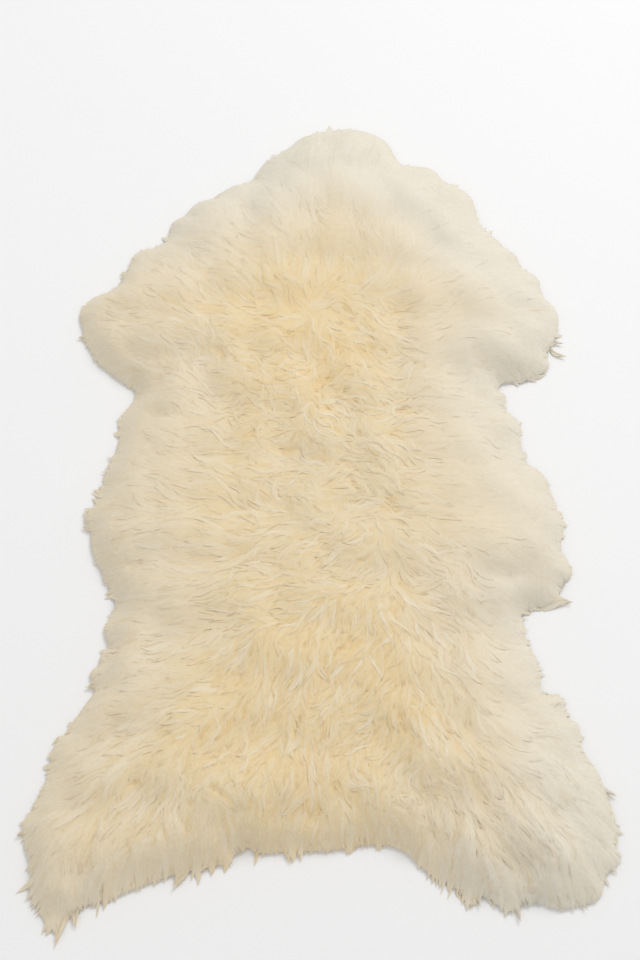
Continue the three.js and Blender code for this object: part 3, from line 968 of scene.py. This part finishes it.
woolLook = {
    "deep": (0.89, 0.66, 0.32),     # wool near the skin along the spine, also in gaps, hollows and lower locks as partly painted shade
    "deepPale": (0.76, 0.64, 0.44), # and at the edges
    "butter": (0.85, 0.655, 0.36),  # tips along the spine
    "pale": (0.825, 0.768, 0.648),  # tips at the edges
    "cream": (0.92, 0.86, 0.71),    # the palest strands
    "creamShare": 0.16,             # how much cream a strand that is a little pale has
    "streaks": 0.05,                # how much its fibres differ
    "roughness": (0.68, 0.84),
    "sheen": 0.15,
}


def newMaterial(name):
    material = bpy.data.materials.new(name)
    material.use_nodes = True
    material.node_tree.nodes.clear()
    nodes, links = material.node_tree.nodes, material.node_tree.links
    shader = nodes.new("ShaderNodeBsdfPrincipled")
    out = nodes.new("ShaderNodeOutputMaterial")
    links.new(shader.outputs["BSDF"], out.inputs["Surface"])
    return material, nodes, links, shader


def mixColours(nodes, links, factor, first, second, blend="MIX"):
    mix = nodes.new("ShaderNodeMix")
    mix.data_type = "RGBA"
    mix.blend_type = blend
    for socket, value in ((mix.inputs[0], factor), (mix.inputs[6], first), (mix.inputs[7], second)):
        if isinstance(value, bpy.types.NodeSocket):
            links.new(value, socket)
        elif isinstance(value, tuple):
            socket.default_value = (*value, 1)
        else:
            socket.default_value = value
    return mix.outputs[2]


def attributeOut(nodes, name):
    node = nodes.new("ShaderNodeAttribute")
    node.attribute_name = name
    return node.outputs["Fac"]


def rangeOut(nodes, links, value, fromLow, fromHigh, toLow, toHigh):
    node = nodes.new("ShaderNodeMapRange")
    links.new(value, node.inputs[0])
    for socket, number in zip(node.inputs[1:5], (fromLow, fromHigh, toLow, toHigh)):
        socket.default_value = number
    return node.outputs[0]


def woolMaterial():
    material, nodes, links, shader = newMaterial("wool")
    paler = attributeOut(nodes, "paleness")
    tips = mixColours(nodes, links, paler, woolLook["butter"], woolLook["pale"])
    creamy = rangeOut(nodes, links, attributeOut(nodes, "tone"), -1, 3, 0, 4 * woolLook["creamShare"])
    tips = mixColours(nodes, links, creamy, tips, woolLook["cream"])
    rootToTip = rangeOut(nodes, links, attributeOut(nodes, "along"), 0.15, 0.85, 0, 1)
    roots = mixColours(nodes, links, paler, woolLook["deep"], woolLook["deepPale"])
    colour = mixColours(nodes, links, rootToTip, roots, tips)

    place = nodes.new("ShaderNodeUVMap")
    place.uv_map = "fibre"
    fibres = nodes.new("ShaderNodeTexNoise")
    fibres.inputs["Scale"].default_value = 7
    fibres.inputs["Detail"].default_value = 3
    links.new(place.outputs["UV"], fibres.inputs["Vector"])
    spread = woolLook["streaks"]
    streak = rangeOut(nodes, links, fibres.outputs["Fac"], 0.3, 0.7, 1 - spread, 1 + spread)
    colour = mixColours(nodes, links, 1.0, colour, streak, "MULTIPLY")
    links.new(colour, shader.inputs["Base Color"])
    rough = rangeOut(nodes, links, fibres.outputs["Fac"], 0.3, 0.7, *woolLook["roughness"])
    links.new(rough, shader.inputs["Roughness"])
    bump = nodes.new("ShaderNodeBump")
    bump.inputs["Strength"].default_value = 0.25
    bump.inputs["Distance"].default_value = 0.0003
    links.new(fibres.outputs["Fac"], bump.inputs["Height"])
    links.new(bump.outputs["Normal"], shader.inputs["Normal"])
    shader.inputs["Sheen Weight"].default_value = woolLook["sheen"]
    shader.inputs["Sheen Roughness"].default_value = 0.5
    shader.inputs["Sheen Tint"].default_value = (1, 0.96, 0.88, 1)
    shader.inputs["Specular IOR Level"].default_value = 0.3
    return material


def suedeMaterial():
    material, nodes, links, shader = newMaterial("suede")
    grain = nodes.new("ShaderNodeTexNoise")
    grain.inputs["Scale"].default_value = 900
    patches = nodes.new("ShaderNodeTexNoise")
    patches.inputs["Scale"].default_value = 18
    colour = mixColours(nodes, links, patches.outputs["Fac"], hideLook["dark"], hideLook["light"])
    colour = mixColours(nodes, links, 0.25, colour, grain.outputs["Fac"], "MULTIPLY")
    links.new(colour, shader.inputs["Base Color"])
    shader.inputs["Roughness"].default_value = hideLook["roughness"]
    shader.inputs["Sheen Weight"].default_value = hideLook["sheen"]
    bump = nodes.new("ShaderNodeBump")
    bump.inputs["Strength"].default_value = 0.3
    bump.inputs["Distance"].default_value = 0.0005
    links.new(grain.outputs["Fac"], bump.inputs["Height"])
    links.new(bump.outputs["Normal"], shader.inputs["Normal"])
    return material


hide = makeHide()
hide.data.materials.append(suedeMaterial())
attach(hide, "root")
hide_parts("hide")
print("hide: made")

wool = makeWool()
woolFinish = woolMaterial()
for piece in wool:
    piece.data.materials.append(woolFinish)
    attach(piece, "root")
    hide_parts("fleece")
    print("wool:", piece.name, len(piece.data.polygons), "faces")


# The studio

studio = {
    "floorSize": 12,
    "floorColour": (0.98, 0.98, 0.98),
    "world": 0.62,                        # strength of the even light from all around
    "key": ((1.75, 2.4, 3.5), 2.4, 78),   # place, size and power of the lamp past the neck
    "fill": ((-1.6, -0.8, 1.8), 1.8, 2),  # and of the faint one at the left
}


def makeFloor():
    bpy.ops.mesh.primitive_plane_add(size=studio["floorSize"], location=(0, 0, -0.0003))
    floor = bpy.context.object
    floor.name = "floor"
    material, nodes, links, shader = newMaterial("pale floor")
    shader.inputs["Base Color"].default_value = (*studio["floorColour"], 1)
    shader.inputs["Roughness"].default_value = 0.9
    floor.data.materials.append(material)


def softLight(name, place, size, power):
    lamp = bpy.data.lights.new(name, "AREA")
    lamp.shape = "DISK"
    lamp.size = size
    lamp.energy = power
    light = bpy.data.objects.new(name, lamp)
    light.location = place
    light.rotation_mode = "QUATERNION"
    light.rotation_quaternion = (-Vector(place)).to_track_quat("-Z", "Y")
    bpy.context.scene.collection.objects.link(light)


def makeLight():
    world = bpy.data.worlds.new("studio")
    world.use_nodes = True
    world.node_tree.nodes["Background"].inputs["Color"].default_value = (1, 1, 1, 1)
    world.node_tree.nodes["Background"].inputs["Strength"].default_value = studio["world"]
    bpy.context.scene.world = world
    softLight("key", *studio["key"])
    softLight("fill", *studio["fill"])
    bpy.context.scene.view_settings.view_transform = "Standard"
    bpy.context.scene.cycles.diffuse_bounces = 8


# The camera looks along +Y from 62 degrees above the floor
shot = {
    "target": (0.0015, 0.0232, 0.0),
    "elevation": 62,
    "distance": 2.4,
    "lens": 72.64,
}


def makeCamera():
    lens = bpy.data.cameras.new("camera")
    lens.lens = shot["lens"]
    camera = bpy.data.objects.new("camera", lens)
    rise = math.radians(shot["elevation"])
    back = Vector((0, -math.cos(rise), math.sin(rise)))
    camera.location = Vector(shot["target"]) + back * shot["distance"]
    camera.rotation_mode = "QUATERNION"
    camera.rotation_quaternion = (-back).to_track_quat("-Z", "Y")
    bpy.context.scene.collection.objects.link(camera)
    bpy.context.scene.camera = camera


makeFloor()
makeLight()
makeCamera()
print("studio: floor, lights and camera")
